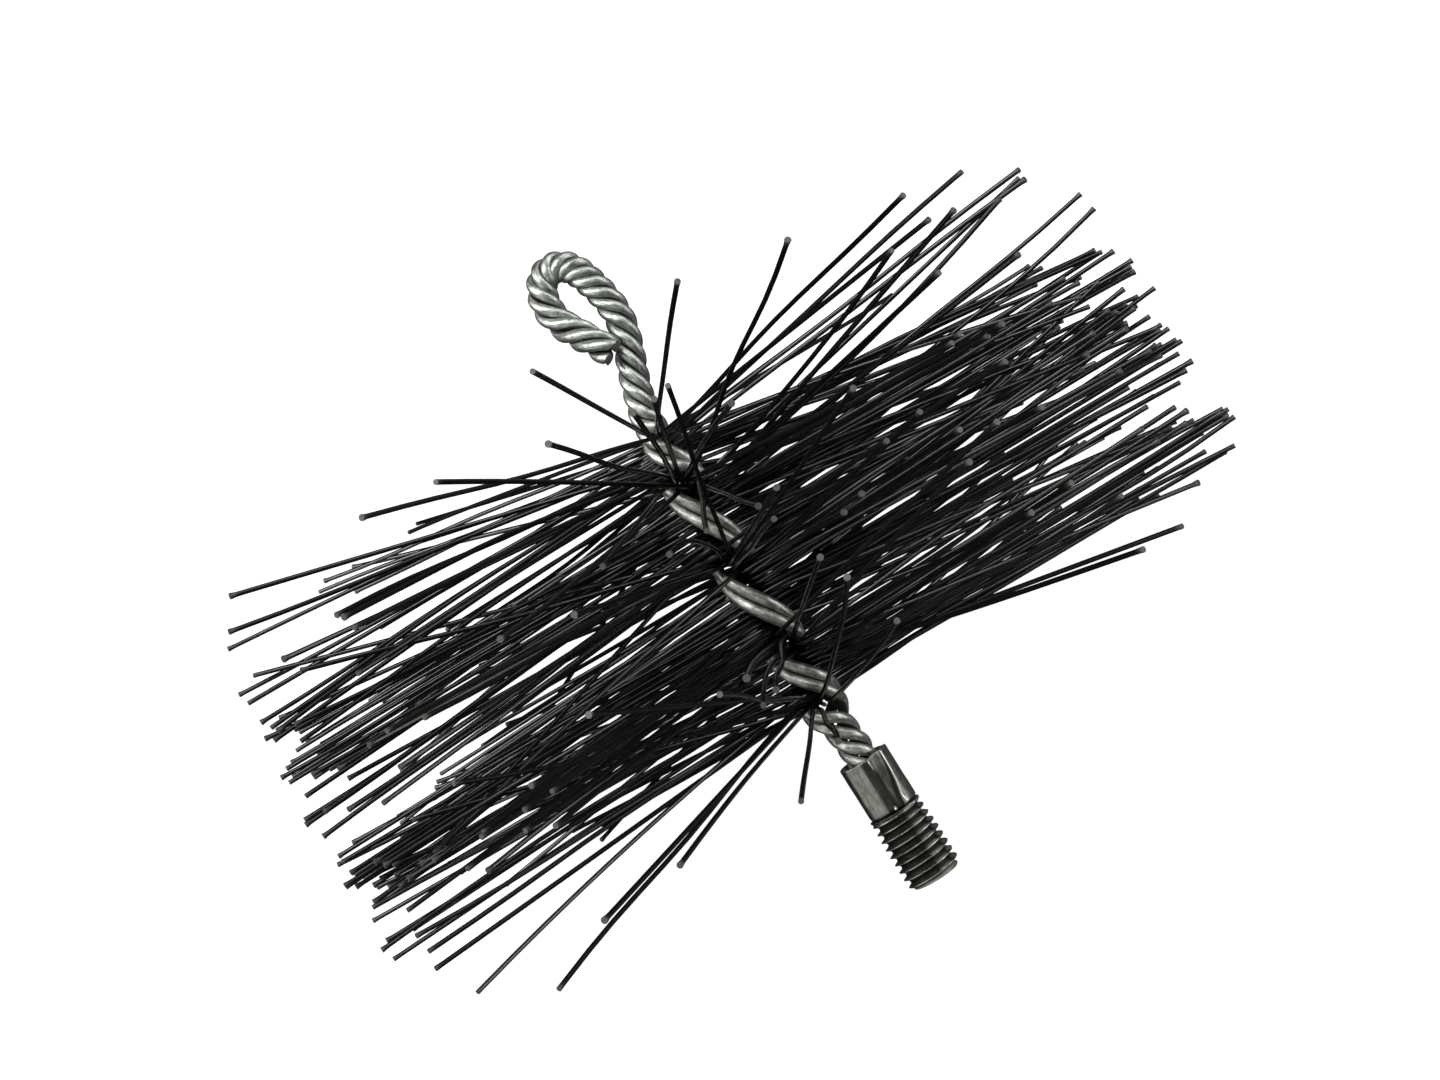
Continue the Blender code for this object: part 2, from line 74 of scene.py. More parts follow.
# lay length of the rope, and the half angle between a pair's wires, at each point
EYE_LAY = (14.3, 14.5, 15.0, 15.4, 15.4, 15.0, 14.0, 12.8, 11.4, 10.2, 9.4, 9.0, 9.4, 10.6, 13.0, 16.5, 19.5, 20.5, 19.5, 18.5, 18.0)
EYE_HALF = (45, 45, 45, 45, 45, 45, 45, 45, 45, 45, 45, 45, 44, 43, 42, 41, 41, 41, 42, 42, 43)


def monotone(xs, ys):
    """A smooth curve through the points that never turns back between them."""
    xs = np.asarray(xs, float)
    ys = np.asarray(ys, float)
    h = np.diff(xs)
    d = np.diff(ys) / h
    m = np.empty(len(xs))
    m[0], m[-1] = d[0], d[-1]
    for i in range(1, len(xs) - 1):
        if d[i - 1] * d[i] <= 0:
            m[i] = 0
        else:
            a, b = 2 * h[i] + h[i - 1], h[i] + 2 * h[i - 1]
            m[i] = (a + b) / (a / d[i - 1] + b / d[i])

    def at(x):
        i = int(min(max(np.searchsorted(xs, x) - 1, 0), len(h) - 1))
        t = (x - xs[i]) / h[i]
        return float(
            (1 + 2 * t) * (1 - t) ** 2 * ys[i]
            + t * (1 - t) ** 2 * h[i] * m[i]
            + t * t * (3 - 2 * t) * ys[i + 1]
            + t * t * (t - 1) * h[i] * m[i + 1]
        )

    return at


def smooth_step(a, b, x):
    t = min(max((x - a) / (b - a), 0.0), 1.0)
    return t * t * (3 - 2 * t)


def catmull(points, per_span):
    p = [np.array(q, float) for q in points]
    p = [2 * p[0] - p[1]] + p + [2 * p[-1] - p[-2]]
    out = []
    for i in range(1, len(p) - 2):
        t = [0.0]
        for a, b in ((i - 1, i), (i, i + 1), (i + 1, i + 2)):
            t.append(t[-1] + math.sqrt(np.linalg.norm(p[b] - p[a])))
        for k in range(per_span):
            u = t[1] + (t[2] - t[1]) * k / per_span
            a1 = (t[1] - u) / (t[1] - t[0]) * p[i - 1] + (u - t[0]) / (t[1] - t[0]) * p[i]
            a2 = (t[2] - u) / (t[2] - t[1]) * p[i] + (u - t[1]) / (t[2] - t[1]) * p[i + 1]
            a3 = (t[3] - u) / (t[3] - t[2]) * p[i + 1] + (u - t[2]) / (t[3] - t[2]) * p[i + 2]
            b1 = (t[2] - u) / (t[2] - t[0]) * a1 + (u - t[0]) / (t[2] - t[0]) * a2
            b2 = (t[3] - u) / (t[3] - t[1]) * a2 + (u - t[1]) / (t[3] - t[1]) * a3
            out.append((t[2] - u) / (t[2] - t[1]) * b1 + (u - t[1]) / (t[2] - t[1]) * b2)
    out.append(p[-2])
    return np.array(out)


TWIST = monotone(
    (-111.5, -106.4, -95.8, -76.0, -57.4, -43.0, -36.0, -29.0, -17.0),
    tuple(-math.pi * t for t in (-4.70, -4.0, -3.0, -2.0, -1.0, 0.0, 0.72, 1.62, 3.24)),
)


def rope_line():
    straight = np.arange(WIRE_START_X, NECK_X, -0.25)
    line = np.array([(x, 0.3 * smooth_step(-100, -110.8, x) - STEM_AT[1] * smooth_step(*BEND_X, x), 0.0) for x in straight])
    line = np.vstack([line, catmull(EYE, 16)])
    seg = np.linalg.norm(np.diff(line, axis=0), axis=1)
    s = np.concatenate([[0], np.cumsum(seg)])
    tangent = np.gradient(line, s, axis=0)
    tangent /= np.linalg.norm(tangent, axis=1)[:, None]
    eye_s = s[len(straight) :: 16]
    lay = monotone(eye_s, EYE_LAY)
    half_at = monotone(eye_s, [math.radians(a) for a in EYE_HALF])
    neck_s = s[len(straight)]
    out = []
    normal = np.array((0.0, 1.0, 0.0))
    psi = 0.0
    for i, (point, way) in enumerate(zip(line, tangent)):
        normal = normal - way * normal.dot(way)
        normal /= np.linalg.norm(normal)
        across = np.cross(normal, way)
        x = point[0]
        if s[i] <= neck_s:
            psi = TWIST(x)
            rate = abs(TWIST(x - 0.3) - TWIST(x + 0.3)) / 0.6
            closed = 0.72 * smooth_step(-95.5, -102.0, x) + 0.28 * smooth_step(-102.0, -111.8, x) + smooth_step(-42.6, -35.5, x)
            end_r = ROPE_R if x < -80 else FERRULE_ROPE_R
            radius = STEM_R + (end_r - STEM_R) * closed
            lead = math.cos(math.atan(STEM_R * rate))
            pair = math.asin(min(0.62, PAIR_TOUCH / (2 * STEM_R * lead)))
            half = pair + (math.pi / 4 - pair) * closed
            lead = math.cos(math.atan(radius * rate))
            if x < -80:
                half = math.asin(min(math.sqrt(0.5), PAIR_TOUCH / (2 * radius * lead)))
        else:
            rate = TAU / lay(s[i])
            psi += rate * (s[i] - s[i - 1])
            radius, half = ROPE_R, half_at(s[i])
            lead = math.cos(math.atan(radius * rate))
        # neighbours just press on each other
        thick = min(WIRE_R, max(1.09, radius * min(math.sin(half), math.cos(half)) * lead + 0.04))
        out.append((s[i], point, normal.copy(), across, psi, radius, half, thick if x < -96 else WIRE_R))
    return out


def resample(path, extra, thick, spacing):
    """The path at even spacing, with the rope's centre and the wire's radius beside
    each point."""
    seg = np.linalg.norm(np.diff(path, axis=0), axis=1)
    s = np.concatenate([[0], np.cumsum(seg)])
    grid = np.linspace(0, s[-1], int(round(s[-1] / spacing)) + 1)
    at = lambda a: np.stack([np.interp(grid, s, a[:, c]) for c in range(3)], axis=1)
    return at(path), at(extra), np.interp(grid, s, thick), grid


def strand(rope, number, spacing):
    pair, side = divmod(number, 2)
    path, centre, thick = [], [], []
    for _, point, normal, across, psi, radius, half, wire_r in rope:
        a = psi + math.pi * pair + (half if side else -half)
        bulge = 1 + 0.09 * smooth_step(-135.0, -141.0, point[0]) * (0.5 + 0.5 * math.cos(a)) ** 2
        path.append(point + radius * bulge * (math.cos(a) * normal + math.sin(a) * across))
        centre.append(point)
        thick.append(wire_r)
    return resample(np.array(path), np.array(centre), thick, spacing)


# ---- Mesh building -------------------------------------------------------------------
class Build:
    """Collects points, faces and per-point values, and makes one mesh of them."""

    def __init__(self, at=(0, 0, 0)):
        self.points, self.faces, self.values, self.at = [], [], {}, at

    def add(self, points, faces, **values):
        base = len(self.points)
        self.points.extend(map(tuple, points))
        self.faces.extend(tuple(base + i for i in f) for f in faces)
        for name, value in values.items():
            value = np.asarray(value, float)
            if value.ndim == 0:
                value = np.full(len(points), float(value))
            self.values.setdefault(name, []).append(value)

    def tube(self, line, radii, sides, caps=(True, True), round_values=None, turn=0.0, sheared=None, **values):
        """A tube of rings round a line. round_values(i, normals) gives values of
        the points of ring i from their outward directions. sheared, a point and a
        normal, is the plane that the last three rings are cut along."""
        line = np.asarray(line, float)
        way = np.gradient(line, axis=0)
        way /= np.linalg.norm(way, axis=1)[:, None]
        helper = np.array((0, 0, 1.0)) if abs(way[0][2]) < 0.9 else np.array((0, 1.0, 0))
        side = np.cross(way[0], helper)
        side /= np.linalg.norm(side)
        angles = turn + np.arange(sides) * TAU / sides
        points, lie, more = [], [], {}
        travel = 0.0
        for i, (p, w) in enumerate(zip(line, way)):
            if i:
                travel += float(np.linalg.norm(p - line[i - 1]))
            side = side - w * side.dot(w)
            side /= np.linalg.norm(side)
            up = np.cross(w, side)
            out = np.cos(angles)[:, None] * side + np.sin(angles)[:, None] * up
            ring = p + out * radii[i]
            if sheared and i >= len(line) - 3:
                short = (0.34, 0.10, 0.0)[i - len(line) + 3]
                ring += w * (((sheared[0] - ring) @ sheared[1] - short) / (w @ sheared[1]))[:, None]
            points.extend(ring)
            lie.extend((math.cos(a), math.sin(a), travel) for a in angles)
            if round_values:
                for name, value in round_values(i, out).items():
                    more.setdefault(name, []).extend(value)
        faces = []
        n = len(line)
        for i in range(n - 1):
            for j in range(sides):
                k = (j + 1) % sides
                faces.append((i * sides + j, i * sides + k, (i + 1) * sides + k, (i + 1) * sides + j))
        if caps[0]:
            faces.append(tuple(range(sides))[::-1])
        if caps[1]:
            faces.append(tuple((n - 1) * sides + j for j in range(sides)))
        per_ring = {k: np.repeat(np.asarray(v, float), sides) if np.ndim(v) == 1 else v for k, v in values.items()}
        self.add(points, faces, lie=np.array(lie), **per_ring, **{k: np.array(v) for k, v in more.items()})

    def make(self, name, material, sharp=40):
        mesh = bpy.data.meshes.new(name)
        points = (np.array(self.points) + self.at) * MM
        mesh.from_pydata(points.tolist(), [], self.faces)
        for key, parts in self.values.items():
            data = np.concatenate(parts)
            if data.ndim == 2:
                a = mesh.attributes.new(key, "FLOAT_VECTOR", "POINT")
                a.data.foreach_set("vector", data.astype(np.float32).ravel())
            else:
                a = mesh.attributes.new(key, "FLOAT", "POINT")
                a.data.foreach_set("value", data.astype(np.float32))
        mesh.shade_smooth()
        mesh.set_sharp_from_angle(angle=math.radians(sharp))
        mesh.materials.append(material)
        mesh.update()
        obj = bpy.data.objects.new(name, mesh)
        bpy.context.scene.collection.objects.link(obj)
        return obj


# ---- Materials ------------------------------------------------------------------------
class Nodes:
    def __init__(self, name):
        self.material = bpy.data.materials.new(name)
        self.material.use_nodes = True
        self.tree = self.material.node_tree
        self.shader = self.tree.nodes["Principled BSDF"]

    def new(self, kind, **settings):
        node = self.tree.nodes.new(kind)
        for key, value in settings.items():
            if hasattr(node, key):
                setattr(node, key, value)
            else:
                node.inputs[key.replace("_", " ")].default_value = value
        return node

    def link(self, a, b):
        self.tree.links.new(a, b)

    def attribute(self, name):
        return self.new("ShaderNodeAttribute", attribute_name=name)

    def stretched(self, source, scale):
        node = self.new("ShaderNodeMapping")
        node.inputs["Scale"].default_value = scale
        self.link(source, node.inputs["Vector"])
        return node.outputs["Vector"]

    def noise(self, vector, scale, detail=4.0, rough=0.55):
        node = self.new("ShaderNodeTexNoise", Scale=scale, Detail=detail, Roughness=rough)
        self.link(vector, node.inputs["Vector"])
        return node.outputs["Fac"]

    def ramp(self, source, *stops):
        """stops: (position, value or colour)"""
        node = self.new("ShaderNodeValToRGB")
        band = node.color_ramp
        while len(band.elements) < len(stops):
            band.elements.new(0.5)
        for element, (at, value) in zip(band.elements, stops):
            element.position = at
            element.color = (*value, 1) if hasattr(value, "__len__") else (value, value, value, 1)
        self.link(source, node.inputs["Fac"])
        return node.outputs["Color"]

    def mix(self, a, b, fac):
        node = self.new("ShaderNodeMix", data_type="RGBA")
        for source, key in ((a, 6), (b, 7), (fac, 0)):
            if hasattr(source, "links"):
                self.link(source, node.inputs[key])
            elif key:
                node.inputs[key].default_value = (*source, 1)
            else:
                node.inputs[0].default_value = source
        return node.outputs[2]

    def maths(self, op, a, b, clamp=False):
        node = self.new("ShaderNodeMath", operation=op, use_clamp=clamp)
        for source, key in ((a, 0), (b, 1)):
            if hasattr(source, "links"):
                self.link(source, node.inputs[key])
            else:
                node.inputs[key].default_value = source
        return node.outputs[0]

    def bump(self, height, strength, distance, after=None):
        node = self.new("ShaderNodeBump", Strength=strength, Distance=distance)
        self.link(height, node.inputs["Height"])
        if after is not None:
            self.link(after, node.inputs["Normal"])
        return node.outputs["Normal"]


def zinc_material():
    m = Nodes("galvanised_zinc")
    lie = m.attribute("lie").outputs["Vector"]
    soil = m.attribute("soil").outputs["Fac"]
    place = m.new("ShaderNodeTexCoord").outputs["Object"]
    drawn = m.stretched(lie, (1.6, 1.6, 0.20))  # streaks along the drawn wire
    blot = m.noise(place, 620, 4.0, 0.62)
    fine = m.noise(place, 3600, 3.0, 0.6)
    streak = m.noise(drawn, 3.4, 6.0, 0.65)
    base = m.ramp(blot, (0.34, (0.10, 0.113, 0.104)), (0.50, (0.26, 0.278, 0.26)), (0.66, (0.52, 0.535, 0.51)))
    base = m.mix(base, m.ramp(streak, (0.38, (0.09, 0.10, 0.092)), (0.60, (0.60, 0.615, 0.588))), 0.50)
    # toward the bristles the zinc is paler and a little yellow
    pale = m.ramp(blot, (0.36, (0.20, 0.215, 0.19)), (0.66, (0.66, 0.67, 0.61)))
    base = m.mix(base, pale, m.maths("MULTIPLY", soil, 0.42))
    # painted shade: the side of each strand that faces the rope's centre is darkened, made less metallic and
    # rougher, standing in for the shade in the grooves between the strands
    groove = m.attribute("groove").outputs["Fac"]
    painted_groove_shade = m.ramp(groove, (0.23, 0.0), (0.35, 0.35), (0.46, 1.0))
    base = m.mix(base, (0.012, 0.013, 0.010), painted_groove_shade)
    specks = m.ramp(fine, (0.30, 1.0), (0.38, 0.0))
    base = m.mix(base, (0.07, 0.075, 0.062), m.maths("MULTIPLY", specks, 0.65))
    cut = m.attribute("cut").outputs["Fac"]
    base = m.mix(base, (0.10, 0.10, 0.09), m.maths("MULTIPLY", cut, 0.8))
    m.link(base, m.shader.inputs["Base Color"])
    m.link(m.maths("SUBTRACT", 0.92, m.maths("MULTIPLY", painted_groove_shade, 0.90)), m.shader.inputs["Metallic"])
    rough = m.ramp(m.noise(place, 1500, 4.0, 0.6), (0.30, 0.26), (0.72, 0.50))
    rough = m.maths("ADD", rough, m.maths("MULTIPLY", painted_groove_shade, 0.45), clamp=True)
    m.link(rough, m.shader.inputs["Roughness"])
    n = m.bump(m.noise(place, 700, 2.0), 0.50, 0.00016)
    n = m.bump(streak, 0.55, 0.00011, n)
    n = m.bump(fine, 0.45, 0.00005, n)
    m.link(n, m.shader.inputs["Normal"])
    return m.material


def bristle_material():
    m = Nodes("black_filament")
    lie = m.attribute("lie").outputs["Vector"]
    shade = m.attribute("shade").outputs["Fac"]
    tip = m.attribute("tip").outputs["Fac"]
    drawn = m.stretched(lie, (1.3, 1.3, 0.10))
    streak = m.noise(drawn, 2.2, 5.0, 0.6)
    base = m.ramp(shade, (0.0, (0.0008, 0.0008, 0.0007)), (0.6, (0.0022, 0.0021, 0.0018)), (1.0, (0.0085, 0.0076, 0.0062)))
    base = m.mix(base, m.ramp(streak, (0.42, (0.0008, 0.0008, 0.0007)), (0.76, (0.014, 0.0128, 0.0105))), 0.22)
    chewed = m.noise(m.stretched(lie, (1, 1, 1.2)), 2.6, 4.0, 0.7)
    frayed = m.maths("MULTIPLY", tip, m.ramp(chewed, (0.38, 0.10), (0.68, 0.85)))
    base = m.mix(base, (0.078, 0.074, 0.066), frayed)
    m.link(base, m.shader.inputs["Base Color"])
    rough = m.ramp(m.noise(drawn, 5.0, 4.0), (0.30, 0.13), (0.70, 0.25))
    rough = m.maths("ADD", rough, m.maths("MULTIPLY", tip, 0.30), clamp=True)
    m.link(rough, m.shader.inputs["Roughness"])
    m.shader.inputs["Specular IOR Level"].default_value = 0.55
    n = m.bump(m.noise(m.stretched(lie, (1.0, 1.0, 0.05)), 3.2, 3.0), 0.22, 0.00004)
    m.link(n, m.shader.inputs["Normal"])
    return m.material


def steel_material():
    m = Nodes("crimped_steel")
    lie = m.attribute("lie").outputs["Vector"]  # cos, sin, distance along in mm
    place = m.new("ShaderNodeTexCoord").outputs["Object"]
    worn = m.attribute("worn").outputs["Fac"]
    deep = m.attribute("deep").outputs["Fac"]
    tone = m.attribute("tone").outputs["Fac"]
    stain = m.noise(place, 420, 6.0, 0.68)
    rings = m.noise(m.stretched(lie, (0.25, 0.25, 9.0)), 3.0, 3.0, 0.6)  # turning marks
    drag = m.noise(m.stretched(lie, (7.0, 7.0, 0.13)), 2.4, 6.0, 0.68)  # crimping drag along the sleeve
    pits = m.noise(place, 2300, 3.0, 0.6)
    base = m.ramp(stain, (0.32, (0.085, 0.083, 0.073)), (0.52, (0.17, 0.167, 0.150)), (0.70, (0.29, 0.285, 0.262)))
    base = m.mix(base, m.ramp(drag, (0.38, (0.075, 0.073, 0.064)), (0.64, (0.36, 0.352, 0.325))), 0.46)
    base = m.mix(base, m.ramp(rings, (0.38, (0.09, 0.088, 0.078)), (0.62, (0.28, 0.275, 0.255))), 0.16)
    # painted shade and painted highlight: low values darken the base toward near black, high values lighten it
    # toward pale steel, following how the ferrule's faces are lit at each angle
    shadow = m.ramp(tone, (0.0, 1.0), (0.62, 0.0))
    base = m.mix(base, (0.016, 0.0145, 0.0115), m.maths("MULTIPLY", shadow, 0.93))
    base = m.mix(base, (0.40, 0.39, 0.365), m.maths("MULTIPLY", m.ramp(tone, (0.62, 0.0), (1.0, 1.0)), 0.60))
    base = m.mix(base, (0.030, 0.028, 0.023), m.maths("MULTIPLY", m.ramp(pits, (0.30, 1.0), (0.37, 0.0)), 0.55))
    # painted shade in recesses: the thread's roots and flanks, the step into the sleeve, the bore and the centre
    # drill mark are darkened and made rougher
    base = m.mix(base, (0.008, 0.0075, 0.006), m.maths("MULTIPLY", deep, 0.97))
    # real wear on the crests, rim, notch and chips, together with painted highlights: a band round the thread, a
    # pale line at its edge and the lip beside the sleeve's ridge
    base = m.mix(base, (0.70, 0.69, 0.66), m.maths("MULTIPLY", worn, 0.88))
    m.link(base, m.shader.inputs["Base Color"])
    m.shader.inputs["Metallic"].default_value = 1.0
    rough = m.ramp(m.noise(place, 800, 4.0, 0.6), (0.30, 0.28), (0.72, 0.50))
    rough = m.maths("ADD", rough, m.maths("MULTIPLY", deep, 0.25), clamp=True)
    m.link(rough, m.shader.inputs["Roughness"])
    n = m.bump(rings, 0.25, 0.00004)
    n = m.bump(drag, 0.40, 0.00006, n)
    n = m.bump(pits, 0.30, 0.00003, n)
    m.link(n, m.shader.inputs["Normal"])
    return m.material


# ---- Wires -----------------------------------------------------------------------------
def make_wires(material):
    rope = rope_line()
    end_point = rope[-1][1]
    end_way = rope[-1][1] - rope[-3][1]
    end_way /= np.linalg.norm(end_way)
    for number in range(4):
        line, centre, thick, grid = strand(rope, number, 0.4)
        # the rings near the end give way to those of the sheared cut
        keep = grid < grid[-1] - 1.3
        line = np.vstack([line[keep], line[-1], line[-1] + end_way * 0.001, line[-1] + end_way * 0.002])
        centre = np.vstack([centre[keep], centre[-1], centre[-1], centre[-1]])
        thick = np.append(thick[keep], [thick[-1]] * 3)
        wander = [rng.uniform(0, TAU) for _ in range(4)]
        radii, soil = [], []
        for x, r, s in zip(line[:, 0], thick, grid):
            radii.append(r + 0.012 * math.sin(s / 3.1 + wander[0]) + 0.010 * math.sin(s / 1.3 + wander[1]))
            soil.append(0.25 + 0.75 * smooth_step(-112.0, -100.0, x) * (1 - 0.35 * smooth_step(-46.0, -38.0, x)))
        radii[-2:] = [radii[-3] * 0.985, radii[-3] * 0.90]
        cut = np.zeros(len(line))
        cut[-3:] = (0.15, 0.8, 1.0)

        def round_values(i, out, line=line, centre=centre):
            inward = centre[i] - line[i]
            inward /= max(np.linalg.norm(inward), 1e-6)
            return {"groove": np.clip(out @ inward * 0.5 + 0.5, 0, 1)}

        build = Build(STEM_AT)
        build.tube(
            line, radii, 24, round_values=round_values, sheared=(end_point, end_way), cut=cut, soil=np.array(soil)
        )
        if not number:
            # a dark tube all along the core of the eye's rope: painted shade seen through the gaps between the
            # wires
            core = [r[1] for r in rope if r[1][0] < -109.0 and r[0] < rope[-1][0] - 2.0][::3]
            build.tube(core, [0.86] * len(core), 12, groove=1.0, cut=0.0, soil=1.0)
        piece = build.make(f"wire_strand_{number + 1}", material)
        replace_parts(piece, f"stem_wire_{number + 1}")
        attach(piece, "root")


# ---- Bristles ----------------------------------------------------------------------------
def prongs_of(obj, k):
    """[(offset, sense, start, tip)] of a tuft, read from its solid: each prong joins
    four corners at the clamp to four at the tip."""
    x = ZONE_X[0] + 0.4 + k * TUFT_PITCH
    psi = TWIST(x)
    across = np.array((0, math.cos(psi), math.sin(psi)))
    along = np.array((0, -math.sin(psi), math.cos(psi)))
    offsets = (-0.72, 0.72) if k % 6 == 1 or k < 5 else (-1.42, 0.0, 1.42)
    co = np.array([v.co for v in obj.data.vertices], float) / MM - STEM_AT
    edges = np.array([e.vertices for e in obj.data.edges])
    found = []
    for w in offsets:
        for sense in (1, -1):
            start = np.array((x, 0, 0)) + w * across + sense * CLAMP_HALF * along
            tips = set()
            for a in (-1, 1):
                for b in (-1, 1):
                    corner = start + a * BRISTLE_W / 2 * across + np.array((b * BRISTLE_W / 2, 0, 0))
                    near = np.linalg.norm(co - corner, axis=1) < 0.03
                    for i, j in edges[near[edges[:, 0]] | near[edges[:, 1]]]:
                        other = co[j] if near[i] else co[i]
                        if np.linalg.norm(other - corner) > 50:
                            tips.add(tuple(np.round(other, 2)))
            if tips:
                found.append((w, sense, start, np.mean(sorted(tips), axis=0)))
    return x, across, along, offsets, found


def half_bristle(middle, start, tip):
    """Points from the clamp's middle to the tip: out of the gap, over the wire's
    edge in a short bend, then almost straight."""
    into = start - middle
    into /= np.linalg.norm(into)
    out = tip - start
    length = np.linalg.norm(out)
    out /= length
    before, after = start - into * 2.0, start + out * 3.2
    bend = [(1 - t) ** 2 * before + 2 * t * (1 - t) * start + t * t * after for t in np.linspace(0, 1, 6)]
    helper = np.cross(out, (rng.gauss(0, 1), rng.gauss(0, 1), rng.gauss(0, 1)))
    helper /= max(np.linalg.norm(helper), 1e-6)
    bow = (rng.gauss(0, 0.75) if rng.random() < 0.94 else rng.gauss(0, 1.6)) * min(1.0, (length / 85) ** 1.5)
    wave = rng.gauss(0, 0.16)
    end = max(0.5, length - 1.9)
    run = []
    for d in [*np.linspace(3.2, end, 11)[1:], *(length - np.array((1.25, 0.65, 0.25, 0.0)))]:
        t = d / length
        shift = bow * 4 * t * (1 - t) * (0.75 + 0.5 * t) + wave * math.sin(3 * math.pi * t)
        run.append(start + out * d + helper * shift)
    return bend + run, 4


def flare(r):
    """Radii at the last rings of a bristle whose end spread when it was cut."""
    head = r * rng.choice((1.06, 1.12, 1.2, 1.28, 1.36))
    return [r + (head - r) * t for t in (0.12, 0.45, 0.95, 0.86)]


def closest(p, q, starts, ends):
    """Distances between the segment p-q and each of the segments starts-ends."""
    d1, d2, r = q - p, ends - starts, p - starts
    a, e = d1.dot(d1), np.einsum("ij,ij->i", d2, d2)
    f, c, b = np.einsum("ij,ij->i", d2, r), r @ d1, d2 @ d1
    s = np.clip((b * f - c * e) / np.maximum(a * e - b * b, 1e-9), 0, 1)
    t = np.clip((b * s + f) / e, 0, 1)
    s = np.clip((b * t - c) / a, 0, 1)
    gap = (p + s[:, None] * d1) - (starts + t[:, None] * d2)
    return np.sqrt(np.einsum("ij,ij->i", gap, gap))


def fibre(build, middle, along, ends):
    """One bristle, from tip to tip through the clamp. ends gives start and tip for
    each sense that has them; a side without them broke off at the stem."""
    r = BRISTLE_R * rng.uniform(0.95, 1.05)
    shade = rng.random() ** 1.6
    sides = {}
    for sense in (1, -1):
        if sense in ends:
            points, tips = half_bristle(middle, *ends[sense])
            radii = [r] * (len(points) - tips) + flare(r)
            tip = [0.0] * (len(points) - tips) + [0.15, 0.5, 1.0, 1.0]
        else:
            points = [middle + sense * along * d for d in (3.4, 5.2, 5.5)]
            radii, tip = [r, r, r * 0.9], [0.0, 0.6, 1.0]
        sides[sense] = (points, radii, tip)
    line = sides[-1][0][::-1] + [middle] + sides[1][0]
    radii = sides[-1][1][::-1] + [r] + sides[1][1]
    tip = sides[-1][2][::-1] + [0.0] + sides[1][2]
    build.tube(line, radii, 10, turn=rng.uniform(0, TAU), tip=tip, shade=[shade] * len(line))


def finish_bristles(build, name, material):
    lie = np.concatenate(build.values["lie"])
    lie[:, 2] += rng.uniform(0, 400)
    build.values["lie"] = [lie]
    piece = build.make(name, material)
    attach(piece, "root")
    return piece


# How much more shade each fan wants at each x, halfway out, on the left and the right.
# A bristle that crosses a cell of the width below gives it SHADE.
WANT_LEFT = monotone(
    (-125, -117.5, -112.5, -107.5, -100, -92.5, -87.5, -82.5, -77.5, -67.5, -62.5, -57.5, -52.5, -45, -38),
    (0, 1.3, 0.4, -1.1, -0.3, 0.5, -1.1, 0.8, 0, 0.1, 1.5, 1.1, -1.9, 0.2, 0),
)
WANT_RIGHT = monotone(
    (-125, -115, -107.5, -98, -92.5, -87.5, -82.5, -77.5, -72.5, -67.5, -62.5, -57.5, -52.5, -47, -42.5, -38),
    (-0.3, -0.5, 0.2, -0.2, 0.6, 1.3, -0.8, 2.1, 0.4, 0.2, -0.6, 1.8, -1.0, -1.0, 0.7, 0),
)
CELL, SHADE = 5.0, 0.17


